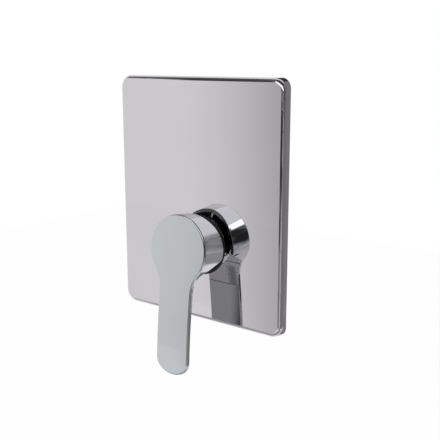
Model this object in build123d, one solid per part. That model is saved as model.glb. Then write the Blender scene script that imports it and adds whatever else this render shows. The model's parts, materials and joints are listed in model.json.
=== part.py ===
from build123d import *
import os
from math import acos, cos, degrees, pi, radians, sin, sqrt, tan

# A concealed single-lever shower mixer, in millimetres.
# +Z is up, +X is to the right as the user sees it and the room is towards -Y.
# The origin is on the cartridge axis in the plane of the finished wall (y = 0).

# Cover plate
plate_width = 148.5
plate_height = 180.0
plate_depth = 7.0
plate_wall = 1.5
plate_corner_radius = 10.8
plate_rim_corner_radius = 7.0
plate_edge_radius = 3.0
plate_shift_left = 3.65
plate_rise = 32.0

# Foam strip behind the plate
gasket_width = 8.0
gasket_rim_gap = 0.3
gasket_wall_gap = 0.3

# Rubber ring between the plate and the collar
plate_seal_width = 1.7
plate_seal_flange_width = 2.3
plate_seal_flange_thickness = 1.5
plate_seal_lip = 0.3

# Handle: gaps are measured from the plate's face before the handle is tilted
hub_sleeve_gap = 2.5
hub_face_gap = 27.4
hub_side_gap = 5.9
hub_top_gap = 13.0
hub_wall = 2.3
hub_front_wall = 3.4
hub_tilt = 6.3
hub_under_start = 6.0
hub_under_end = 17.0
hub_under_radius = 5.0
hub_corner_radius = 4.0
hub_edge_radius = 1.2
handle_back_edge_radius = 0.5
lever_reach = 92.3
lever_half_width = 14.6
lever_tip_depth = 10.5
lever_neck_radius = 24.0
lever_thickness = 3.0
lever_bend_start = 45.0
lever_bend_angle = 5.0

# Pivot and spindle
pivot_gap = 10.0
pivot_pin_radius = 1.5
pivot_running_gap = 0.06
spindle_tilt = 11.0
spindle_width = 8.0
spindle_reach = 13.0
spindle_arm = 9.0
spindle_arm_radius = 2.0
spindle_ball_radius = 2.5
bush_wall = 1.0
bush_fit_gap = 0.05
bush_start = 7.3
boss_radius = 8.0
boss_start = 7.0
boss_reach = 16.5
socket_end_gap = 0.4
screw_radius = 2.5
screw_length = 7.0
screw_along_spindle = 10.15
screw_socket_flats = 2.5
screw_socket_depth = 3.0

# Rotor and hot limit ring
rotor_front_radius = 9.0
rotor_front_rise = 3.0
rotor_flange_radius = 11.5
rotor_flange_thickness = 3.0
rotor_slot_side_gap = 0.3
rotor_slot_half_length = 5.3
rotor_stop_height = 1.7
rotor_stop_half_angle = 8.0
dog_width = 2.4
dog_length = 3.0
dog_height = 2.1
dog_offset = 6.5
dog_side_gap = 0.3
dog_end_gap = 0.45
temperature_half_range = 45.0
ring_wall = 2.0
ring_thickness = 2.4
ring_notch_count = 20
ring_notch_radius = 0.5
stop_play_angle = 1.5

# Cartridge
running_gap = 0.1
body_gap = 0.3
housing_front_y = -14.0
housing_front_radius = 13.2
housing_lip = 1.5
housing_shoulder_y = -6.0
housing_radius = 17.4
housing_wall = 2.2
housing_back_y = 2.0
disc_thickness = 3.0
disc_film = 0.05
fixed_disc_gap = 0.3
moving_disc_radius = 11.4
carrier_radius = 9.3
carrier_front_gap = 0.5
base_flange_thickness = 2.5
base_plug_length = 1.0
base_pin_radius = 1.4
base_pin_length = 3.2
base_pin_side = 12.5
base_pin_drop = 7.0
seal_thickness = 1.2
seal_wall = 1.5
port_radius = 2.6
port_side = 7.5
port_drop = 2.5
outlet_port_rise = 6.5
mixing_pocket_radius = 9.8
mixing_pocket_edge = 0.2
mixing_pocket_depth = 1.8

# Ring nut
nut_bore_gap = 0.2
nut_front_y = -13.4
nut_slot_width = 4.0
nut_slot_depth = 2.0
nut_slot_count = 4
thread_gap = 0.05

# Collar
sleeve_wall = 1.15
sleeve_step = 1.0
sleeve_step_gap = 7.0
sleeve_front_gap = 10.5
sleeve_front_wall = 1.3
sleeve_lip_width = 3.0
sleeve_lip_thickness = 1.0
sleeve_chamfer = 0.5
sleeve_seal_thickness = 0.8
sleeve_seal_width = 3.0

# Brass body
body_shoulder_width = 3.7
body_front_y = 2.0
body_back_y = 41.0
neck_front_y = -12.6
neck_wall = 1.7
cartridge_seat_gap = 0.2
waterway_y = 22.0
branch_radius = 13.5
branch_reach = 45.0
branch_chamfer = 1.0
thread_radius = 9.3
thread_depth = 15.0
channel_radius = 5.0
channel_end_gap = 0.3
outlet_channel_radius = 3.8
strainer_seat_radius = 8.5
strainer_seat_depth = 2.0

# Steel bracket behind the body and the screws that hold it
bracket_side = 76.0
bracket_thickness = 3.0
bracket_corner_radius = 9.0
fixing_edge_distance = 8.0
fixing_hole_radius = 2.75
bracket_screw_radius = 2.0
bracket_screw_reach = 6.0
bracket_screw_head_radius = 3.8
bracket_screw_offset = 13.0
bracket_screw_gap = 0.1
bracket_screw_socket_flats = 2.5
bracket_screw_socket_depth = 1.5

# Strainers
strainer_fit_gap = 0.1
strainer_thickness = 1.6
strainer_hole_radius = 0.9
strainer_edge_width = 0.7
strainer_rings = 2

# Plug of the unused lower outlet
plug_thread_length = 12.0
plug_head_radius = 12.5
plug_head_thickness = 3.0
plug_seal_thickness = 1.0
plug_socket_flats = 10.0
plug_socket_depth = 7.0
plug_thread_gap = 0.1

# One overrun for every cut that has to pass clear through a face
overrun = 1.0

plate_face_y = -plate_depth
pivot_y = plate_face_y - pivot_gap
bush_half_width = spindle_width / 2 + bush_fit_gap + bush_wall
neck_inner_radius = housing_radius + cartridge_seat_gap
neck_radius = neck_inner_radius + neck_wall
body_radius = neck_radius + body_shoulder_width
sleeve_bore_radius = neck_radius + thread_gap
sleeve_radius = sleeve_bore_radius + sleeve_wall
sleeve_front_radius = sleeve_radius - sleeve_step
plate_hole_radius = sleeve_radius + plate_seal_width
hub_inner_radius = sleeve_radius + hub_sleeve_gap
hub_radius = hub_inner_radius + hub_wall
rotor_front_y = pivot_y - rotor_front_rise
rotor_flange_front_y = housing_front_y + housing_lip + cartridge_seat_gap
rotor_back_y = rotor_flange_front_y + rotor_flange_thickness
carrier_front_y = rotor_back_y + carrier_front_gap
fixed_disc_back_y = housing_back_y - base_plug_length
disc_meeting_y = fixed_disc_back_y - disc_thickness
moving_disc_back_y = disc_meeting_y - disc_film
moving_disc_front_y = moving_disc_back_y - disc_thickness
base_back_y = housing_back_y + base_flange_thickness
seat_floor_y = base_back_y + seal_thickness
spindle_swing = spindle_arm * sin(radians(spindle_tilt))
bracket_back_y = body_back_y + bracket_thickness
fixing_spacing = bracket_side - 2 * fixing_edge_distance
strainer_radius = strainer_seat_radius - strainer_fit_gap
strainer_hole_pitch = (strainer_radius - strainer_edge_width - strainer_hole_radius) / strainer_rings
BASE = (Align.CENTER, Align.CENTER, Align.MIN)


def rod_y(radius, front_y, back_y, x=0, z=0):
    """A cylinder along Y from front_y to back_y."""
    return Pos(x, front_y, z) * Rot(-90, 0, 0) * Cylinder(radius, back_y - front_y, align=BASE)


def rod_x(radius, left_x, right_x, y=0, z=0):
    """A cylinder along X from left_x to right_x."""
    return Pos(left_x, y, z) * Rot(0, 90, 0) * Cylinder(radius, right_x - left_x, align=BASE)


def rod_z(radius, low_z, high_z, x=0, y=0):
    """A cylinder along Z from low_z to high_z."""
    return Pos(x, y, low_z) * Cylinder(radius, high_z - low_z, align=BASE)


def ring_y(outer, inner, front_y, back_y, x=0, z=0):
    """A tube along Y."""
    return rod_y(outer, front_y, back_y, x, z) - rod_y(inner, front_y - overrun, back_y + overrun, x, z)


def block(x_size, z_size, front_y, back_y, x=0, z=0):
    """A box that is centred on x and z, from front_y to back_y."""
    return Pos(x, (front_y + back_y) / 2, z) * Box(x_size, back_y - front_y, z_size)


def rounded_slab(width, height, radius, front_y, back_y, x=0, z=0):
    """An upright slab with rounded corners, from front_y to back_y."""
    outline = RectangleRounded(width, height, radius)
    return extrude(Pos(x, back_y, z) * (Plane.XZ * outline), back_y - front_y)


def countersunk_y(radius, head_radius, front_y, back_y, x, z):
    """A rod along Y whose back end widens to a 90 degree countersunk head."""
    head_depth = head_radius - radius
    head = Pos(x, back_y - head_depth, z) * Rot(-90, 0, 0) * Cone(radius, head_radius, head_depth, align=BASE)
    return rod_y(radius, front_y, back_y, x, z) + head


def square_places(offset):
    """The four corners, as (x, z), at that offset from the axis."""
    return [(x, z) for x in (-offset, offset) for z in (-offset, offset)]


def tilt_up(shape, angle):
    """Tilt about the pivot: the room side goes up and the top goes towards the wall."""
    return Pos(0, pivot_y, 0) * Rot(-angle, 0, 0) * Pos(0, -pivot_y, 0) * shape


def ports():
    """Places of the hot, cold and mixed ports across the cartridge, as (x, z)."""
    return [(-port_side, -port_drop), (port_side, -port_drop), (0, outlet_port_rise)]


def save(shape, name):
    """Write one sub-part under its own name."""
    shape.label = name
    export_step(shape, os.path.join("parts", name + ".step"))


def cover_plate():
    """Pressed plate: a shallow dish with its rim on the wall and a hole for the collar.

    The corners are polished rounder at the face than at the rim.
    """
    centre_x = -plate_shift_left
    face_outline = RectangleRounded(plate_width, plate_height, plate_corner_radius)
    rim_outline = RectangleRounded(plate_width, plate_height, plate_rim_corner_radius)
    face_section = Pos(centre_x, plate_face_y, plate_rise) * (Plane.XZ * face_outline)
    rim_section = Pos(centre_x, 0, plate_rise) * (Plane.XZ * rim_outline)
    shell = loft([face_section, rim_section], ruled=True)
    front = shell.faces().sort_by(Axis.Y)[0]
    shell = fillet(front.edges(), plate_edge_radius)
    hollow = rounded_slab(
        plate_width - 2 * plate_wall,
        plate_height - 2 * plate_wall,
        plate_corner_radius - plate_wall,
        plate_face_y + plate_wall,
        overrun,
        centre_x,
        plate_rise,
    )
    inner_front = hollow.faces().sort_by(Axis.Y)[0]
    hollow = fillet(inner_front.edges(), plate_edge_radius - plate_wall)
    return shell - hollow - rod_y(plate_hole_radius, plate_face_y - overrun, 0)


def plate_gasket():
    """Foam strip that runs round inside the rim and closes the plate against the wall."""
    gap = plate_wall + gasket_rim_gap
    front_y = plate_face_y + plate_wall
    outer_width = plate_width - 2 * gap
    outer_height = plate_height - 2 * gap
    outer_radius = plate_corner_radius - gap
    outer = rounded_slab(
        outer_width, outer_height, outer_radius, front_y, -gasket_wall_gap, -plate_shift_left, plate_rise
    )
    edge_round = plate_edge_radius - plate_wall
    outer = chamfer(outer.faces().sort_by(Axis.Y)[0].edges(), edge_round)
    inner = rounded_slab(
        outer_width - 2 * gasket_width,
        outer_height - 2 * gasket_width,
        outer_radius / 2,
        front_y - overrun,
        overrun,
        -plate_shift_left,
        plate_rise,
    )
    return outer - inner


def plate_seal():
    """Rubber ring in the plate's hole, with a flange behind the plate, that grips the collar."""
    front_y = plate_face_y - plate_seal_lip
    inner_face_y = plate_face_y + plate_wall
    back_y = inner_face_y + plate_seal_flange_thickness
    collar = ring_y(plate_hole_radius, sleeve_radius, front_y, back_y)
    flange = ring_y(plate_hole_radius + plate_seal_flange_width, sleeve_radius, inner_face_y, back_y)
    return collar + flange


def handle_outline(depth_front_y, depth_back_y):
    """The handle's front outline, round head and long lever, as a prism along Y."""
    r, w, n = hub_radius, lever_half_width, lever_neck_radius
    turn = degrees(acos((w + n) / (r + n)))
    neck_z = -(r + n) * sin(radians(turn))
    tip_z = lever_tip_depth - lever_reach
    edges = [
        CenterArc((0, 0), r, -turn, 180 + 2 * turn),
        CenterArc((-w - n, neck_z), n, 0, turn),
        Line((-w, neck_z), (-w, tip_z)),
        EllipticalCenterArc((0, tip_z), w, lever_tip_depth, 180, arc_size=180),
        Line((w, tip_z), (w, neck_z)),
        CenterArc((w + n, neck_z), n, 180 - turn, turn),
    ]
    face = make_face(edges)
    return extrude(Pos(0, depth_back_y, 0) * (Plane.XZ * face), depth_back_y - depth_front_y)


def handle_profile():
    """The handle's side view: saddle-shaped rim, straight front and a lever that bends back."""
    drop = hub_top_gap - hub_side_gap
    saddle_radius = (hub_radius**2 + drop**2) / (2 * drop)
    bend_length = lever_reach + overrun - lever_bend_start
    bend_radius = bend_length / sin(radians(lever_bend_angle))

    def gap_y(gap):
        return plate_face_y - gap

    def rim_y(z):
        return gap_y(hub_side_gap + saddle_radius - sqrt(saddle_radius**2 - z**2))

    def bend_y(share):
        run = share * bend_length
        return bend_radius - sqrt(bend_radius**2 - run**2)

    top_z = hub_radius + overrun
    face_y = gap_y(hub_face_gap)
    back_y = face_y + lever_thickness
    rim_start = (rim_y(top_z), top_z)
    rim_middle = (rim_y(hub_under_start), hub_under_start)
    rim_end = (rim_y(hub_under_start), -hub_under_start)
    root = (back_y, -hub_under_end)
    bend_z = -lever_bend_start
    middle_z = bend_z - bend_length / 2
    end_z = bend_z - bend_length
    edges = [
        ThreePointArc(rim_start, rim_middle, rim_end),
        Line(rim_end, root),
        Line(root, (back_y, bend_z)),
        ThreePointArc((back_y, bend_z), (back_y + bend_y(1 / 2), middle_z), (back_y + bend_y(1), end_z)),
        Line((back_y + bend_y(1), end_z), (face_y + bend_y(1), end_z)),
        ThreePointArc((face_y + bend_y(1), end_z), (face_y + bend_y(1 / 2), middle_z), (face_y, bend_z)),
        Line((face_y, bend_z), (face_y, top_z)),
        Line((face_y, top_z), rim_start),
    ]
    face = make_face(edges)
    face = fillet(face.vertices().sort_by_distance((root[0], root[1]))[0], hub_under_radius)
    face = fillet(face.vertices().sort_by_distance((rim_end[0], rim_end[1]))[0], hub_corner_radius)
    return extrude(Plane.YZ * face, hub_radius + overrun, both=True)


def handle_envelope():
    """Outline and side view crossed, with the front and back edges rounded, before the tilt."""
    deep_y = plate_face_y - hub_face_gap - overrun
    body = handle_outline(deep_y, plate_face_y) & handle_profile()
    front_y = plate_face_y - hub_face_gap
    faces = [f for f in body.faces() if f.normal_at(f.center()).Y < -cos(radians(2 * lever_bend_angle))]
    shared = [e for e in faces[0].edges() for other in faces[1].edges() if e.is_same(other)]
    rim = [e for f in faces for e in f.edges() if not any(e.is_same(s) for s in shared)]
    body = fillet(rim, hub_edge_radius)
    backs = [f for f in body.faces() if f.normal_at(f.center()).Y > sin(radians(hub_tilt))]
    edges = [e for f in backs for e in f.edges()]
    outer = [e for e in edges if sum(e.is_same(other) for other in edges) == 1]
    return fillet(outer, handle_back_edge_radius)


def lever_handle():
    """Hub and lever in one casting, hollow inside, with a square socket for the spindle."""
    envelope = tilt_up(handle_envelope(), hub_tilt)
    cavity_front_y = plate_face_y - hub_face_gap + hub_front_wall
    cavity = tilt_up(rod_y(hub_inner_radius, cavity_front_y, overrun), hub_tilt)
    boss = tilt_up(rod_y(boss_radius, pivot_y - boss_reach, pivot_y - boss_start), -spindle_tilt)
    socket_side = 2 * bush_half_width + 2 * bush_fit_gap
    socket_end = pivot_y - spindle_reach - socket_end_gap
    socket = tilt_up(block(socket_side, socket_side, socket_end, pivot_y), -spindle_tilt)
    screw_hole = tilt_up(grub_rod(screw_radius, 0, boss_radius + overrun), -spindle_tilt)
    return envelope - cavity + (boss & envelope) - socket - screw_hole


def grub_rod(radius, start, end):
    """A rod across the spindle, downwards, from start to end below the spindle's axis."""
    return rod_z(radius, -end, -start, 0, pivot_y - screw_along_spindle)


def grub_screw():
    """Hexagon socket set screw that locks the handle on the spindle."""
    start = spindle_width / 2
    end = start + screw_length
    screw = grub_rod(screw_radius, start, end)
    hexagon = RegularPolygon(screw_socket_flats / 2, 6, major_radius=False)
    socket = Pos(0, pivot_y - screw_along_spindle, -end) * extrude(hexagon, screw_socket_depth)
    return tilt_up(screw - socket, -spindle_tilt)


def spindle():
    """Square stem, pivot eye and ball-ended arm."""
    half = spindle_width / 2
    stem = block(spindle_width, spindle_width, pivot_y - spindle_reach, pivot_y)
    eye = rod_x(half, -half, half, pivot_y)
    arm = rod_y(spindle_arm_radius, pivot_y, pivot_y + spindle_arm)
    ball = Pos(0, pivot_y + spindle_arm, 0) * Sphere(spindle_ball_radius)
    hole = rod_x(pivot_pin_radius + pivot_running_gap, -half - overrun, half + overrun, pivot_y)
    return tilt_up(stem + eye + arm + ball - hole, -spindle_tilt)


def spindle_bush():
    """Square plastic bush between the stem and the handle's socket."""
    side = 2 * bush_half_width
    hole_side = spindle_width + 2 * bush_fit_gap
    front_y = pivot_y - spindle_reach
    outer = block(side, side, front_y, pivot_y - bush_start)
    inner = block(hole_side, hole_side, front_y - overrun, pivot_y)
    screw_hole = grub_rod(screw_radius, 0, boss_radius)
    return tilt_up(outer - inner - screw_hole, -spindle_tilt)


def stop_lug(inner, outer, half_angle, front_y, back_y):
    """A piece of ring, or of disc where inner is zero, about the top, from -half_angle to +half_angle."""
    sector = rod_y(outer, front_y, back_y)
    if inner > 0:
        sector = ring_y(outer, inner, front_y, back_y)
    reach = 2 * outer
    side = reach * tan(radians(half_angle))
    wedge = make_face(Polyline((0, 0), (side, reach), (-side, reach), close=True))
    return sector & extrude(Pos(0, back_y, 0) * (Plane.XZ * wedge), back_y - front_y)


def rotor():
    """Rotor: carries the pivot pin, turns the disc carrier with two dogs and has the stop lug."""
    front = rod_y(rotor_front_radius, rotor_front_y, rotor_flange_front_y + overrun)
    flange = rod_y(rotor_flange_radius, rotor_flange_front_y, rotor_back_y)
    lug_front_y = housing_front_y - body_gap - rotor_stop_height
    lug = stop_lug(
        rotor_front_radius - overrun,
        rotor_front_radius + ring_wall - body_gap,
        rotor_stop_half_angle,
        lug_front_y,
        housing_front_y - body_gap,
    )
    slot_width = spindle_width + 2 * rotor_slot_side_gap
    slot = block(slot_width, 2 * rotor_slot_half_length, rotor_front_y - overrun, rotor_back_y + overrun)
    pin_hole = rod_x(pivot_pin_radius, -2 * rotor_front_radius, 2 * rotor_front_radius, pivot_y)
    dogs = [
        block(dog_width, dog_length, rotor_back_y - overrun, rotor_back_y + dog_height, side * dog_offset)
        for side in (-1, 1)
    ]
    return front + flange + lug - slot - pin_hole + dogs[0] + dogs[1]


def pivot_pin():
    """Steel pin that the spindle tilts on."""
    reach = sqrt(rotor_front_radius**2 - pivot_pin_radius**2) - running_gap
    return rod_x(pivot_pin_radius, -reach, reach, pivot_y)


def hot_limit_ring():
    """Notched ring on the housing, with the window that stops the rotor's lug."""
    inner = rotor_front_radius + body_gap
    outer = inner + 2 * ring_wall
    front_y = housing_front_y - ring_thickness
    ring = ring_y(outer, inner, front_y, housing_front_y)
    half_angle = rotor_stop_half_angle + temperature_half_range + stop_play_angle
    for turn in (-1, 1):
        window = stop_lug(0, inner + ring_wall, half_angle / 2, front_y - overrun, housing_front_y + overrun)
        ring = ring - Rot(0, turn * half_angle / 2, 0) * window
    for step in range(ring_notch_count):
        angle = 360 * step / ring_notch_count
        notch = rod_y(ring_notch_radius, front_y - overrun, housing_front_y + overrun, outer)
        ring = ring - Rot(0, angle, 0) * notch
    return ring


def cartridge_housing():
    """Plastic housing: narrow front for the rotor, wide back for the discs and the base."""
    front = rod_y(housing_front_radius, housing_front_y, housing_shoulder_y + overrun)
    back = rod_y(housing_radius, housing_shoulder_y, housing_back_y)
    mouth = rod_y(rotor_front_radius + body_gap, housing_front_y - overrun, rotor_back_y)
    rotor_room = rod_y(rotor_flange_radius + running_gap, housing_front_y + housing_lip, moving_disc_front_y)
    disc_room = rod_y(
        housing_radius - housing_wall, moving_disc_front_y - body_gap, housing_back_y + overrun
    )
    return front + back - mouth - rotor_room - disc_room


def disc_carrier():
    """Slider under the rotor: the spindle's ball moves it, and it moves the disc."""
    z = spindle_swing
    carrier = rod_y(carrier_radius, carrier_front_y, moving_disc_front_y, 0, z)
    socket = rod_y(spindle_ball_radius + running_gap, carrier_front_y - overrun, 0, 0, z)
    slot_width = dog_width + 2 * dog_side_gap
    slot_length = dog_length + 2 * spindle_swing + 2 * dog_end_gap
    slot_back_y = rotor_back_y + dog_height + body_gap
    carrier = carrier - socket
    for side in (-1, 1):
        carrier = carrier - block(
            slot_width, slot_length, carrier_front_y - overrun, slot_back_y, side * dog_offset, z
        )
    return carrier


def moving_disc():
    """Upper ceramic disc, with the mixing pocket in its lapped back face."""
    z = spindle_swing
    disc = rod_y(moving_disc_radius, moving_disc_front_y, moving_disc_back_y, 0, z)
    pocket_front_y = moving_disc_back_y - mixing_pocket_depth
    pocket = rod_y(mixing_pocket_radius, pocket_front_y, moving_disc_back_y + overrun, 0, z)
    height = mixing_pocket_radius + overrun
    middle_z = z + mixing_pocket_edge + height / 2
    half = block(2 * height, height, pocket_front_y, moving_disc_back_y + overrun, 0, middle_z)
    return disc - (pocket & half)


def fixed_disc():
    """Lower ceramic disc with the hot, cold and mixed ports."""
    radius = housing_radius - housing_wall - fixed_disc_gap
    disc = rod_y(radius, disc_meeting_y, fixed_disc_back_y)
    for x, z in ports():
        disc = disc - rod_y(port_radius, disc_meeting_y - overrun, fixed_disc_back_y + overrun, x, z)
    return disc


def cartridge_base():
    """Base of the cartridge: closes the housing and keys into the body with two pins."""
    plug = rod_y(housing_radius - housing_wall - running_gap, fixed_disc_back_y, base_back_y)
    flange = rod_y(housing_radius, housing_back_y, base_back_y)
    base = plug + flange
    for side in (-1, 1):
        pin_x = side * base_pin_side
        base = base + rod_y(
            base_pin_radius, base_back_y - overrun, base_back_y + base_pin_length, pin_x, -base_pin_drop
        )
    for x, z in ports():
        base = base - rod_y(port_radius, fixed_disc_back_y - overrun, base_back_y + overrun, x, z)
    return base


def base_seals():
    """Three rubber rings between the base's ports and the floor of the body's seat."""
    inner = port_radius
    rings = [ring_y(inner + seal_wall, inner, base_back_y, seat_floor_y, x, z) for x, z in ports()]
    return Compound(children=rings)


def cartridge_nut():
    """Slotted ring nut that screws into the neck and presses on the housing's shoulder."""
    bore = housing_front_radius + nut_bore_gap
    outer = neck_inner_radius - thread_gap
    nut = ring_y(outer, bore, nut_front_y, housing_shoulder_y)
    for step in range(nut_slot_count // 2):
        slot = block(2 * outer + overrun, nut_slot_width, nut_front_y - overrun, nut_front_y + nut_slot_depth)
        nut = nut - Rot(0, 180 * step / (nut_slot_count // 2), 0) * slot
    return nut


def sleeve():
    """Chromed collar on the neck: wide tube through the plate, then a narrower front with a lip."""
    step_y = plate_face_y - sleeve_step_gap
    front_y = plate_face_y - sleeve_front_gap
    back_y = body_front_y - sleeve_seal_thickness
    wide = chamfer(
        rod_y(sleeve_radius, step_y, back_y).faces().sort_by(Axis.Y)[0].edges(), sleeve_chamfer
    )
    narrow = chamfer(
        rod_y(sleeve_front_radius, front_y, step_y + overrun).faces().sort_by(Axis.Y)[0].edges(),
        sleeve_chamfer,
    )
    bore = rod_y(sleeve_bore_radius, neck_front_y - overrun, back_y + overrun)
    front_bore = rod_y(sleeve_front_radius - sleeve_front_wall, front_y + sleeve_lip_thickness, back_y)
    mouth = rod_y(sleeve_front_radius - sleeve_lip_width, front_y - overrun, back_y)
    return wide + narrow - bore - front_bore - mouth


def sleeve_seal():
    """Flat ring between the collar's end and the body's shoulder."""
    outer = sleeve_bore_radius + sleeve_seal_width
    return ring_y(outer, sleeve_bore_radius, body_front_y - sleeve_seal_thickness, body_front_y)


def mixer_body():
    """Brass body: cartridge seat, two inlets, two outlets and holes for the bracket's screws."""
    body = rod_y(neck_radius, neck_front_y, body_front_y + overrun)
    body = body + rod_y(body_radius, body_front_y, body_back_y)
    across = rod_x(branch_radius, -branch_reach, branch_reach, waterway_y)
    upright = rod_z(branch_radius, -branch_reach, branch_reach, 0, waterway_y)
    across = chamfer(across.edges().filter_by(GeomType.CIRCLE), branch_chamfer)
    upright = chamfer(upright.edges().filter_by(GeomType.CIRCLE), branch_chamfer)
    body = body + across + upright
    screw_end_y = body_back_y - bracket_screw_reach - body_gap
    for x, z in square_places(bracket_screw_offset):
        body = body - rod_y(bracket_screw_radius + thread_gap, screw_end_y, body_back_y + overrun, x, z)
    body = body - rod_y(neck_inner_radius, neck_front_y - overrun, seat_floor_y)
    for pin_side in (-1, 1):
        pin_back_y = base_back_y + base_pin_length + body_gap
        pin_x = pin_side * base_pin_side
        body = body - rod_y(
            base_pin_radius + running_gap, seat_floor_y - overrun, pin_back_y, pin_x, -base_pin_drop
        )
    for x, z in ports():
        body = body - rod_y(port_radius, seat_floor_y - overrun, waterway_y, x, z)
    thread_end = branch_reach - thread_depth
    seat_end = thread_end - strainer_seat_depth
    channel_end = port_side - port_radius + channel_end_gap
    for direction in (-1, 1):
        body = body - inlet_bore(direction, thread_end, seat_end, channel_end)
    body = body - rod_z(outlet_channel_radius, -branch_reach, branch_reach, 0, waterway_y)
    body = body - rod_z(thread_radius, thread_end, branch_reach + overrun, 0, waterway_y)
    body = body - rod_z(thread_radius, -branch_reach - overrun, -thread_end, 0, waterway_y)
    return body


def inlet_bore(direction, thread_end, seat_end, channel_end):
    """Thread, strainer seat and channel of one inlet; direction is -1 for hot and 1 for cold."""
    steps = [
        (thread_radius, thread_end, branch_reach + overrun),
        (strainer_seat_radius, seat_end, branch_reach),
        (channel_radius, channel_end, branch_reach),
    ]
    bores = [rod_x(r, *sorted((direction * a, direction * b)), waterway_y) for r, a, b in steps]
    return bores[0] + bores[1] + bores[2]


def fixing_bracket():
    """Square steel plate behind the body, with four fixing holes and four countersunk ones."""
    plate = rounded_slab(bracket_side, bracket_side, bracket_corner_radius, body_back_y, bracket_back_y)
    for x, z in square_places(fixing_spacing / 2):
        plate = plate - rod_y(fixing_hole_radius, body_back_y - overrun, bracket_back_y + overrun, x, z)
    hole_radius = bracket_screw_radius + bracket_screw_gap
    head_radius = bracket_screw_head_radius + bracket_screw_gap
    for x, z in square_places(bracket_screw_offset):
        plate = plate - countersunk_y(
            hole_radius, head_radius, body_back_y - overrun, bracket_back_y, x, z
        )
    return plate


def bracket_screws():
    """Four countersunk screws through the bracket into the body."""
    screws = []
    front_y = body_back_y - bracket_screw_reach
    back_y = bracket_back_y - bracket_screw_gap
    hexagon = RegularPolygon(bracket_screw_socket_flats / 2, 6, major_radius=False)
    for x, z in square_places(bracket_screw_offset):
        screw = countersunk_y(bracket_screw_radius, bracket_screw_head_radius, front_y, back_y, x, z)
        socket = extrude(Pos(x, back_y, z) * (Plane.XZ * hexagon), bracket_screw_socket_depth)
        screws.append(screw - socket)
    return Compound(children=screws)


def inlet_strainers():
    """Two perforated discs at the bottom of the inlets."""
    thread_end = branch_reach - thread_depth
    inner_x = thread_end - strainer_seat_depth
    discs = []
    for direction in (-1, 1):
        ends = sorted((direction * inner_x, direction * (inner_x + strainer_thickness)))
        disc = rod_x(strainer_radius, *ends, waterway_y)
        low, high = ends[0] - overrun, ends[1] + overrun
        disc = disc - rod_x(strainer_hole_radius, low, high, waterway_y)
        for ring in range(1, strainer_rings + 1):
            for step in range(6 * ring):
                angle = 2 * pi * step / (6 * ring)
                y = waterway_y + ring * strainer_hole_pitch * cos(angle)
                z = ring * strainer_hole_pitch * sin(angle)
                disc = disc - rod_x(strainer_hole_radius, low, high, y, z)
        discs.append(disc)
    return Compound(children=discs)


def outlet_plug():
    """Screw plug of the lower outlet, with a hexagon socket."""
    head_top = -branch_reach - plug_seal_thickness
    head_low = head_top - plug_head_thickness
    plug = rod_z(plug_head_radius, head_low, head_top, 0, waterway_y)
    plug = plug + rod_z(
        thread_radius - plug_thread_gap, head_top - overrun, -branch_reach + plug_thread_length, 0, waterway_y
    )
    hexagon = RegularPolygon(plug_socket_flats / 2, 6, major_radius=False)
    return plug - Pos(0, waterway_y, head_low) * extrude(hexagon, plug_socket_depth)


def outlet_plug_seal():
    """Fibre ring under the plug's head."""
    low = -branch_reach - plug_seal_thickness
    outer = rod_z(plug_head_radius, low, -branch_reach, 0, waterway_y)
    return outer - rod_z(thread_radius, low - overrun, -branch_reach + overrun, 0, waterway_y)


def main():
    os.makedirs("parts", exist_ok=True)
    makers = [
        cover_plate, plate_gasket, plate_seal, lever_handle, grub_screw, spindle, spindle_bush,
        rotor, pivot_pin, hot_limit_ring, cartridge_housing, disc_carrier, moving_disc, fixed_disc,
        cartridge_base, base_seals, cartridge_nut, sleeve, sleeve_seal, mixer_body,
        fixing_bracket, bracket_screws, inlet_strainers, outlet_plug, outlet_plug_seal,
    ]
    for make in makers:
        save(make(), make.__name__)


main()
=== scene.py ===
import json
import math

import bpy
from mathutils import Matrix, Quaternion, Vector

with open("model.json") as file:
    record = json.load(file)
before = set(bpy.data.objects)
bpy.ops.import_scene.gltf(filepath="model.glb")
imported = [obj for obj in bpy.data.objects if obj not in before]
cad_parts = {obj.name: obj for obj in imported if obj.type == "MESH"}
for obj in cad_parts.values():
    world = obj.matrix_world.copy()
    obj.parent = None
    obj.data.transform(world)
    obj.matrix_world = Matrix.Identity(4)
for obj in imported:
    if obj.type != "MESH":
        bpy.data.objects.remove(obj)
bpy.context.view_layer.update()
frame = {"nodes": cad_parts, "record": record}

MM = 0.001

# Camera, at the photograph's angle
CAMERA_PLACE = (322.8 * MM, -412.2 * MM, 134.4 * MM)
CAMERA_TARGET = (12.4 * MM, 0.0, 19.1 * MM)
CAMERA_LENS = 59.24

# Colours and roughness of the chromes, low and high; the colours were nudged to the photo's tones
CHROME_COLOURS = ((0.495, 0.515, 0.535), (0.515, 0.535, 0.555))
PLATE_COLOURS = ((0.59, 0.57, 0.59), (0.605, 0.585, 0.605))
# Near-black base colour that paints shade into the hub's hollow and onto its back rim
HUB_SHADE_COLOURS = ((0.035, 0.037, 0.038), (0.06, 0.063, 0.065))
CHROME_ROUGHNESS = (0.02, 0.04)
PLATE_ROUGHNESS = (0.015, 0.03)
DULL_ROUGHNESS = (0.30, 0.42)

# Chrome's slow colour drift, fine polish and cast grain, in features per metre
DRIFT_SCALE = 18.0
POLISH_SCALE = 60.0
CAST_SCALE = 900.0

# Studio
CARD_CENTRE = (0.0, -0.02, 0.0)
WORLD_LIGHT = 0.55
FLOOR_HEIGHT = -0.8
FLOOR_HALF_WIDTH = 3.0
FLOOR_GLOW_SHARE = 0.98
FLOOR_COLOUR = (0.8, 0.8, 0.8, 1.0)
WHITE = (1.0, 1.0, 1.0, 1.0)
LAMP_SIZE = 0.5
LAMP_DISTANCE = 0.9
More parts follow.
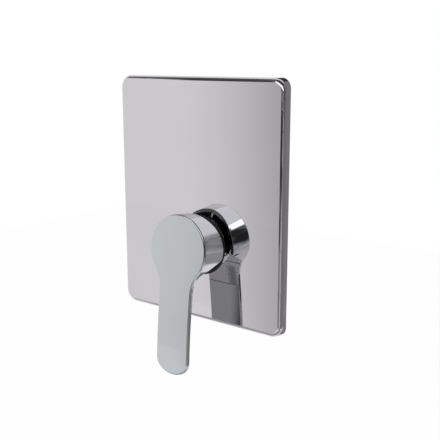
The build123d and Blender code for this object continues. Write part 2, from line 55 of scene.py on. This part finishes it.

# Hub of the handle in metres and degrees, in its own tilted frame, for the painted shade and the
# dull roughness of its hollow and back rim. These are copies of the CAD's sizes with margins of up
# to 1 mm, and don't follow the frame.
HUB_TILT = 6.3
PIVOT_Y = -0.017
HUB_HOLLOW_RADIUS = 0.0232
HUB_HOLLOW_FRONT = -0.0309
HUB_OUTER_RADIUS = 0.0262
HUB_SADDLE_RADIUS = 0.04863
HUB_RIM_Y = -0.01305
# The back rim gets this share of the painted shade and of the rough roughness
HUB_RIM_SHADE_SHARE = 0.65


# Name, low and high colour, low and high roughness, grain per metre, relief in metres
MATT_FINISHES = (
    ("black_rubber", (0.012, 0.014, 0.014), (0.022, 0.024, 0.024), 0.45, 0.6, 1200, 3e-5),
    ("foam", (0.012, 0.012, 0.013), (0.035, 0.035, 0.037), 0.85, 0.98, 1500, 3e-4),
    ("housing_plastic", (0.68, 0.68, 0.65), (0.74, 0.74, 0.71), 0.35, 0.5, 900, 2e-5),
    ("rotor_plastic", (0.03, 0.033, 0.036), (0.045, 0.048, 0.052), 0.35, 0.5, 900, 2e-5),
    ("limit_plastic", (0.02, 0.022, 0.024), (0.03, 0.033, 0.036), 0.35, 0.5, 900, 2e-5),
    ("ceramic", (0.78, 0.76, 0.70), (0.82, 0.80, 0.75), 0.08, 0.16, 700, 5e-6),
    ("fibre", (0.15, 0.012, 0.008), (0.24, 0.025, 0.016), 0.6, 0.8, 1500, 8e-5),
)


def make_camera():
    """The camera that sees the object as the photograph does."""
    data = bpy.data.cameras.new("camera")
    data.lens = CAMERA_LENS
    data.sensor_width = 36.0
    data.clip_start = 0.01
    camera = bpy.data.objects.new("camera", data)
    bpy.context.scene.collection.objects.link(camera)
    camera.location = CAMERA_PLACE
    aim = Vector(CAMERA_TARGET) - Vector(CAMERA_PLACE)
    camera.rotation_mode = "QUATERNION"
    camera.rotation_quaternion = aim.to_track_quat("-Z", "Y")
    bpy.context.scene.camera = camera


class Shader:
    """A node material with one Principled shader and helpers that hang textures on it."""

    def __init__(self, name):
        self.material = bpy.data.materials.new(name)
        self.material.use_nodes = True
        self.nodes = self.material.node_tree.nodes
        self.links = self.material.node_tree.links
        self.bsdf = self.nodes["Principled BSDF"]
        self.place = self.nodes.new("ShaderNodeTexCoord").outputs["Object"]

    def noise(self, scale, detail=4.0, stretch=(1.0, 1.0, 1.0)):
        """Noise in the object's own frame; scale is features per metre."""
        mapping = self.nodes.new("ShaderNodeMapping")
        mapping.inputs["Scale"].default_value = stretch
        self.links.new(self.place, mapping.inputs["Vector"])
        texture = self.nodes.new("ShaderNodeTexNoise")
        texture.inputs["Scale"].default_value = scale
        texture.inputs["Detail"].default_value = detail
        self.links.new(mapping.outputs["Vector"], texture.inputs["Vector"])
        return texture.outputs["Fac"]

    def ramp(self, factor, low, high, start=0.35, end=0.65):
        """A colour that runs between two colours with the factor."""
        ramp = self.nodes.new("ShaderNodeValToRGB")
        ramp.color_ramp.elements[0].position = start
        ramp.color_ramp.elements[1].position = end
        ramp.color_ramp.elements[0].color = (*low, 1.0)
        ramp.color_ramp.elements[1].color = (*high, 1.0)
        self.links.new(factor, ramp.inputs["Fac"])
        return ramp.outputs["Color"]

    def colours(self, factor, low, high, start=0.35, end=0.65):
        """Base colour that runs between two colours with the factor."""
        self.links.new(self.ramp(factor, low, high, start, end), self.bsdf.inputs["Base Color"])

    def span(self, factor, low, high):
        """A value that runs between two values with the factor."""
        scaled = self.nodes.new("ShaderNodeMapRange")
        scaled.inputs["From Min"].default_value = 0.3
        scaled.inputs["From Max"].default_value = 0.7
        scaled.inputs["To Min"].default_value = low
        scaled.inputs["To Max"].default_value = high
        self.links.new(factor, scaled.inputs["Value"])
        return scaled.outputs["Result"]

    def roughness(self, factor, low, high):
        """Roughness that runs between two values with the factor."""
        self.links.new(self.span(factor, low, high), self.bsdf.inputs["Roughness"])

    def maths(self, operation, *values):
        """A Math node on outputs or plain numbers."""
        node = self.nodes.new("ShaderNodeMath")
        node.operation = operation
        for socket, value in zip(node.inputs, values):
            if isinstance(value, (int, float)):
                socket.default_value = value
            else:
                self.links.new(value, socket)
        return node.outputs["Value"]

    def mix_colour(self, factor, first, second):
        """First colour where the factor is 0, second where it is 1."""
        node = self.nodes.new("ShaderNodeMix")
        node.data_type = "RGBA"
        self.links.new(factor, node.inputs["Factor"])
        self.links.new(first, node.inputs[6])
        self.links.new(second, node.inputs[7])
        return node.outputs[2]

    def mix_value(self, factor, first, second):
        """First value where the factor is 0, second where it is 1."""
        node = self.nodes.new("ShaderNodeMix")
        node.data_type = "FLOAT"
        self.links.new(factor, node.inputs["Factor"])
        self.links.new(first, node.inputs[2])
        self.links.new(second, node.inputs[3])
        return node.outputs[0]

    def bump(self, factor, depth, strength=1.0):
        """Relief of that depth in metres."""
        node = self.nodes.new("ShaderNodeBump")
        node.inputs["Strength"].default_value = strength
        node.inputs["Distance"].default_value = depth
        self.links.new(factor, node.inputs["Height"])
        self.links.new(node.outputs["Normal"], self.bsdf.inputs["Normal"])

    def put(self, **values):
        """Constants on the shader's own sockets."""
        for name, value in values.items():
            self.bsdf.inputs[name.replace("_", " ")].default_value = value


def chrome(name, colours, roughness):
    """Polished plating."""
    s = Shader(name)
    s.put(Metallic=1.0)
    s.colours(s.noise(DRIFT_SCALE), *colours)
    s.roughness(s.noise(POLISH_SCALE), *roughness)
    return s.material


def handle_chrome():
    """Polished outside; the hollow and the back rim of the hub are rough, with painted shade as a
    near-black base colour.
    """
    s = Shader("handle_chrome")
    s.put(Metallic=1.0)
    turned = s.nodes.new("ShaderNodeMapping")
    tilt = math.radians(HUB_TILT)
    turned.inputs["Rotation"].default_value = (tilt, 0.0, 0.0)
    turned.inputs["Location"].default_value = (
        0.0, PIVOT_Y * (1.0 - math.cos(tilt)), -PIVOT_Y * math.sin(tilt)
    )
    s.links.new(s.place, turned.inputs["Vector"])
    split = s.nodes.new("ShaderNodeSeparateXYZ")
    s.links.new(turned.outputs["Vector"], split.inputs["Vector"])
    x, y, z = (split.outputs[axis] for axis in "XYZ")
    radius = s.maths("SQRT", s.maths("ADD", s.maths("MULTIPLY", x, x), s.maths("MULTIPLY", z, z)))
    hollow = s.maths(
        "MULTIPLY",
        s.maths("LESS_THAN", radius, HUB_HOLLOW_RADIUS),
        s.maths("GREATER_THAN", y, HUB_HOLLOW_FRONT),
    )
    level = s.maths("SUBTRACT", HUB_SADDLE_RADIUS**2, s.maths("MULTIPLY", z, z))
    drop = s.maths("SUBTRACT", HUB_SADDLE_RADIUS, s.maths("SQRT", level))
    behind = s.maths("GREATER_THAN", s.maths("ADD", y, drop), HUB_RIM_Y)
    rim = s.maths("MULTIPLY", behind, s.maths("LESS_THAN", radius, HUB_OUTER_RADIUS))
    # Where the hub gets painted shade as a near-black colour, and rough roughness
    shade_and_dull = s.maths("MAXIMUM", hollow, s.maths("MULTIPLY", rim, HUB_RIM_SHADE_SHARE))
    polished = s.ramp(s.noise(DRIFT_SCALE), *CHROME_COLOURS)
    painted_shade = s.ramp(s.noise(CAST_SCALE, 6.0), *HUB_SHADE_COLOURS)
    s.links.new(s.mix_colour(shade_and_dull, polished, painted_shade), s.bsdf.inputs["Base Color"])
    fine = s.span(s.noise(POLISH_SCALE), *CHROME_ROUGHNESS)
    coarse = s.span(s.noise(CAST_SCALE), *DULL_ROUGHNESS)
    s.links.new(s.mix_value(shade_and_dull, fine, coarse), s.bsdf.inputs["Roughness"])
    return s.material


def cast_brass():
    s = Shader("cast_brass")
    s.put(Metallic=1.0)
    s.colours(s.noise(70.0, 6.0), (0.42, 0.27, 0.09), (0.62, 0.43, 0.17))
    s.roughness(s.noise(400.0), 0.38, 0.55)
    s.bump(s.noise(900.0, 6.0), 0.00025)
    return s.material


def turned_brass():
    s = Shader("turned_brass")
    s.put(Metallic=1.0)
    s.colours(s.noise(120.0), (0.58, 0.40, 0.15), (0.70, 0.50, 0.21))
    s.roughness(s.noise(300.0), 0.18, 0.30)
    s.bump(s.noise(500.0, 2.0, (1.0, 6.0, 1.0)), 0.00003)
    return s.material


def steel(name, tone):
    s = Shader(name)
    s.put(Metallic=1.0)
    low = tuple(0.85 * t for t in tone)
    s.colours(s.noise(200.0), low, tone)
    s.roughness(s.noise(600.0, 3.0), 0.22, 0.36)
    return s.material


def matt(name, low, high, rough_low, rough_high, grain, depth):
    """Plastic, rubber, fibre or foam."""
    s = Shader(name)
    s.colours(s.noise(grain / 4, 5.0), low, high)
    s.roughness(s.noise(grain), rough_low, rough_high)
    s.bump(s.noise(grain, 4.0), depth)
    return s.material


def dress_frame():
    """A procedural material for every CAD node, by its slot in the record."""
    finishes = {
        "chrome": chrome("chrome", CHROME_COLOURS, CHROME_ROUGHNESS),
        "handle_chrome": handle_chrome(),
        "chrome_plate": chrome("chrome_plate", PLATE_COLOURS, PLATE_ROUGHNESS),
        "brass": cast_brass(),
        "turned_brass": turned_brass(),
        "steel": steel("steel", (0.56, 0.57, 0.58)),
        "mesh_steel": steel("mesh_steel", (0.60, 0.61, 0.62)),
    }
    for name, low, high, rough_low, rough_high, grain, depth in MATT_FINISHES:
        finishes[name] = matt(name, low, high, rough_low, rough_high, grain, depth)
    slots = {s["node"]: s["material_slot"] for s in frame["record"]["subparts"]}
    for name, node in frame["nodes"].items():
        node.data.materials.clear()
        finish = "handle_chrome" if name == "lever_handle" else slots[name]
        node.data.materials.append(finishes[finish])


def direction(azimuth, elevation):
    """Unit vector from the object: azimuth 0 is the room side, 90 is the user's right."""
    a, e = math.radians(azimuth), math.radians(elevation)
    return Vector((math.sin(a) * math.cos(e), -math.cos(a) * math.cos(e), math.sin(e)))


def make_world():
    """White for what the camera, gloss and glass see, softer for the light on matt pieces."""
    world = bpy.data.worlds.new("studio")
    bpy.context.scene.world = world
    world.use_nodes = True
    nodes, links = world.node_tree.nodes, world.node_tree.links
    nodes.clear()
    light = nodes.new("ShaderNodeBackground")
    light.inputs["Color"].default_value = WHITE
    light.inputs["Strength"].default_value = WORLD_LIGHT
    white = nodes.new("ShaderNodeBackground")
    white.inputs["Color"].default_value = WHITE
    white.inputs["Strength"].default_value = 1.0
    mix = nodes.new("ShaderNodeMixShader")
    links.new(seen_ray(nodes, links), mix.inputs["Fac"])
    links.new(light.outputs["Background"], mix.inputs[1])
    links.new(white.outputs["Background"], mix.inputs[2])
    out = nodes.new("ShaderNodeOutputWorld")
    links.new(mix.outputs["Shader"], out.inputs["Surface"])


def seen_ray(nodes, links):
    """1 for camera, glossy and transmission rays, else 0."""
    path = nodes.new("ShaderNodeLightPath")
    total = path.outputs["Is Camera Ray"]
    for name in ("Is Glossy Ray", "Is Transmission Ray"):
        either = nodes.new("ShaderNodeMath")
        either.operation = "MAXIMUM"
        links.new(total, either.inputs[0])
        links.new(path.outputs[name], either.inputs[1])
        total = either.outputs["Value"]
    return total


def make_floor():
    """Pale floor below the object: white where it is seen, with a little of its own shading."""
    mesh = bpy.data.meshes.new("floor")
    w = FLOOR_HALF_WIDTH
    mesh.from_pydata([(-w, -w, 0), (w, -w, 0), (w, w, 0), (-w, w, 0)], [], [(0, 1, 2, 3)])
    floor = bpy.data.objects.new("floor", mesh)
    floor.location = (0, 0, FLOOR_HEIGHT)
    bpy.context.scene.collection.objects.link(floor)
    material = bpy.data.materials.new("floor")
    material.use_nodes = True
    nodes, links = material.node_tree.nodes, material.node_tree.links
    nodes.clear()
    diffuse = nodes.new("ShaderNodeBsdfDiffuse")
    diffuse.inputs["Color"].default_value = FLOOR_COLOUR
    glow = nodes.new("ShaderNodeEmission")
    glow.inputs["Color"].default_value = WHITE
    glow.inputs["Strength"].default_value = 1.0
    share = nodes.new("ShaderNodeMath")
    share.operation = "MULTIPLY"
    share.inputs[1].default_value = FLOOR_GLOW_SHARE
    links.new(seen_ray(nodes, links), share.inputs[0])
    mix = nodes.new("ShaderNodeMixShader")
    links.new(share.outputs["Value"], mix.inputs["Fac"])
    links.new(diffuse.outputs["BSDF"], mix.inputs[1])
    links.new(glow.outputs["Emission"], mix.inputs[2])
    out = nodes.new("ShaderNodeOutputMaterial")
    links.new(mix.outputs["Shader"], out.inputs["Surface"])
    mesh.materials.append(material)


def soft_edge(nodes, links, value, start, end):
    """Smooth rise from 0 at start to 1 at end."""
    rise = nodes.new("ShaderNodeMapRange")
    rise.interpolation_type = "SMOOTHSTEP"
    rise.inputs["From Min"].default_value = start
    rise.inputs["From Max"].default_value = end
    links.new(value, rise.inputs["Value"])
    return rise.outputs["Result"]


def make_card(name, place, outward, size, level, edges, roll=0.0):
    """A studio card that only gloss sees. It stands at a place with its back to the outward
    direction, glows at that level and fades out at its edges: the user's left, right, low and
    high, each a share of the card's side. A positive roll tips its top to the user's left."""
    mesh = bpy.data.meshes.new(name)
    w, h = size[0] / 2, size[1] / 2
    mesh.from_pydata([(-w, -h, 0), (w, -h, 0), (w, h, 0), (-w, h, 0)], [], [(0, 1, 2, 3)])
    card = bpy.data.objects.new(name, mesh)
    bpy.context.scene.collection.objects.link(card)
    card.location = place
    card.rotation_mode = "QUATERNION"
    turn = Quaternion((0.0, 0.0, 1.0), -math.radians(roll))
    card.rotation_quaternion = (-outward).to_track_quat("Z", "Y") @ turn
    card.visible_camera = False
    card.visible_diffuse = False
    card.visible_shadow = False
    card.visible_transmission = False
    material = bpy.data.materials.new(name)
    material.use_nodes = True
    nodes, links = material.node_tree.nodes, material.node_tree.links
    nodes.clear()
    generated = nodes.new("ShaderNodeTexCoord").outputs["Generated"]
    split = nodes.new("ShaderNodeSeparateXYZ")
    links.new(generated, split.inputs["Vector"])
    masks = [
        soft_edge(nodes, links, split.outputs["X"], 1.0, 1.0 - edges[0]),
        soft_edge(nodes, links, split.outputs["X"], 0.0, edges[1]),
        soft_edge(nodes, links, split.outputs["Y"], 0.0, edges[2]),
        soft_edge(nodes, links, split.outputs["Y"], 1.0, 1.0 - edges[3]),
    ]
    total = masks[0]
    for mask in masks[1:]:
        product = nodes.new("ShaderNodeMath")
        product.operation = "MULTIPLY"
        links.new(total, product.inputs[0])
        links.new(mask, product.inputs[1])
        total = product.outputs["Value"]
    clear = nodes.new("ShaderNodeBsdfTransparent")
    glow = nodes.new("ShaderNodeEmission")
    glow.inputs["Color"].default_value = WHITE
    glow.inputs["Strength"].default_value = level
    mix = nodes.new("ShaderNodeMixShader")
    links.new(total, mix.inputs["Fac"])
    links.new(clear.outputs["BSDF"], mix.inputs[1])
    links.new(glow.outputs["Emission"], mix.inputs[2])
    out = nodes.new("ShaderNodeOutputMaterial")
    links.new(mix.outputs["Shader"], out.inputs["Surface"])
    mesh.materials.append(material)


def far_card(name, azimuths, elevations, level, edges, distance):
    """A card that spans two azimuths and two elevations as seen from the object."""
    middle = direction(sum(azimuths) / 2, sum(elevations) / 2)
    width = 2 * distance * math.tan(math.radians(azimuths[1] - azimuths[0]) / 2)
    height = 2 * distance * math.tan(math.radians(elevations[1] - elevations[0]) / 2)
    place = Vector(CARD_CENTRE) + middle * distance
    make_card(name, place, middle, (width, height), level, edges)


def near_flag(name, place, size, level, edges, roll=0.0):
    """A small card beside the object, parallel to the wall; its place and size are in mm."""
    facing = 0.0 if place[1] < 0 else 180.0
    place = Vector(place) * MM
    size = (size[0] * MM, size[1] * MM)
    make_card(name, place, direction(facing, 0.0), size, level, edges, roll)


def make_cards():
    """What the chrome mirrors, for the camera's view alone; other sides show the cards as patches.

    The numbers of the first thirteen come from a least-squares fit to the photo's tones, rounded and
    partly changed. The others were placed against the photo.
    """
    far_card("room_grey", (-42, 35), (-30, 40), 0.35, (0.35, 0.20, 0.06, 0.24), 0.89)
    near_flag("mid_grey", (229, -300, 62), (67, 112), 0.64, (0.21, 0.15, 0.14, 0.24), 3)
    near_flag("low_grey", (227, -300, -161), (98, 182), 0.70, (0.23, 0.14, 0.11, 0.14), -17)
    near_flag("soft_top", (22, -300, 243), (440, 219), 1.66, (0.05, 0.05, 0.18, 0.10), -2)
    near_flag("bright_low", (133, -300, -290), (150, 118), 1.95, (0.20, 0.22, 0.11, 0.20))
    near_flag("upper_left", (-213, -300, 177), (164, 147), 1.19, (0.10, 0.10, 0.20, 0.10), 4)
    far_card("edge_dark", (-24, 46), (-18, 22), 0.05, (0.15, 0.20, 0.40, 0.29), 0.61)
    far_card("right_grey", (39, 133), (-38, 60), 0.25, (0.04, 0.19, 0.05, 0.24), 0.71)
    far_card("behind_right", (97, 178), (-31, 63), 0.28, (0.19, 0.10, 0.18, 0.14), 0.86)
    far_card("behind_left", (-158, -109), (-66, 7), 0.60, (0.05, 0.24, 0.14, 0.18), 0.82)
    far_card("top_left", (-74, -13), (21, 73), 0.10, (0.29, 0.17, 0.21, 0.24), 0.80)
    near_flag("black_a", (54, -60, 6), (34, 39), 0.04, (0.32, 0.30, 0.32, 0.30), 10)
    near_flag("black_b", (257, -285, 112), (50, 103), 0.05, (0.10, 0.11, 0.19, 0.17), -2)
    near_flag("bright", (197, -285, 197), (44, 96), 3.20, (0.10, 0.10, 0.12, 0.12), 27)
    near_flag("lever_dark", (59, -100, -66), (10, 30), 0.06, (0.15, 0.15, 0.35, 0.10))
    near_flag("lever", (-95, 120, -175), (56, 200), 0.03, (0.10, 0.40, 0.10, 0.10))
    near_flag("under_dark", (-241, -285, -238), (18, 52), 0.50, (0.50, 0.10, 0.10, 0.10))
    near_flag("under_light", (-250, -300, -220), (110, 100), 1.03, (0.20, 0.15, 0.12, 0.10))
    far_card("corner_dark", (158, 204), (22, 66), 0.05, (0.15, 0.15, 0.15, 0.10), 0.60)
    far_card("under_grey", (-45, 50), (-88, -40), 0.45, (0.12, 0.10, 0.10, 0.12), 0.60)
    far_card("right_dark", (42, 82), (0, 38), 0.11, (0.10, 0.20, 0.25, 0.15), 0.62)
    near_flag("edge_light", (80, -300, 102), (72, 62), 0.85, (0.45, 0.40, 0.40, 0.30))
    near_flag("corner_low", (110, -60, -150), (78, 160), 0.40, (0.15, 0.15, 0.12, 0.10))
    near_flag("corner_back", (82, 30, -92), (48, 84), 0.28, (0.15, 0.15, 0.12, 0.12))
    far_card("top_right_dark", (-30, 70), (46, 86), 0.05, (0.12, 0.12, 0.15, 0.10), 0.80)
    near_flag("top_dark", (-25, -60, 141), (130, 46), 0.07, (0.30, 0.10, 0.26, 0.20))
    near_flag("corner", (85, -60, 202), (88, 112), 0.08, (0.04, 0.15, 0.14, 0.10))


def make_lamps():
    """Plain soft light for the matt pieces."""
    for name, azimuth, elevation, power in (
        ("key_lamp", -40.0, 50.0, 2.2),
        ("fill_lamp", 60.0, 30.0, 1.2),
        ("back_lamp", 160.0, 40.0, 1.6),
    ):
        data = bpy.data.lights.new(name, "AREA")
        data.shape = "DISK"
        data.size = LAMP_SIZE
        data.energy = power
        lamp = bpy.data.objects.new(name, data)
        bpy.context.scene.collection.objects.link(lamp)
        lamp.location = Vector(CARD_CENTRE) + direction(azimuth, elevation) * LAMP_DISTANCE
        lamp.rotation_mode = "QUATERNION"
        lamp.rotation_quaternion = direction(azimuth, elevation).to_track_quat("Z", "Y")
        lamp.visible_glossy = False


bpy.context.scene.view_settings.view_transform = "Standard"
make_camera()
dress_frame()
make_world()
make_floor()
make_cards()
make_lamps()
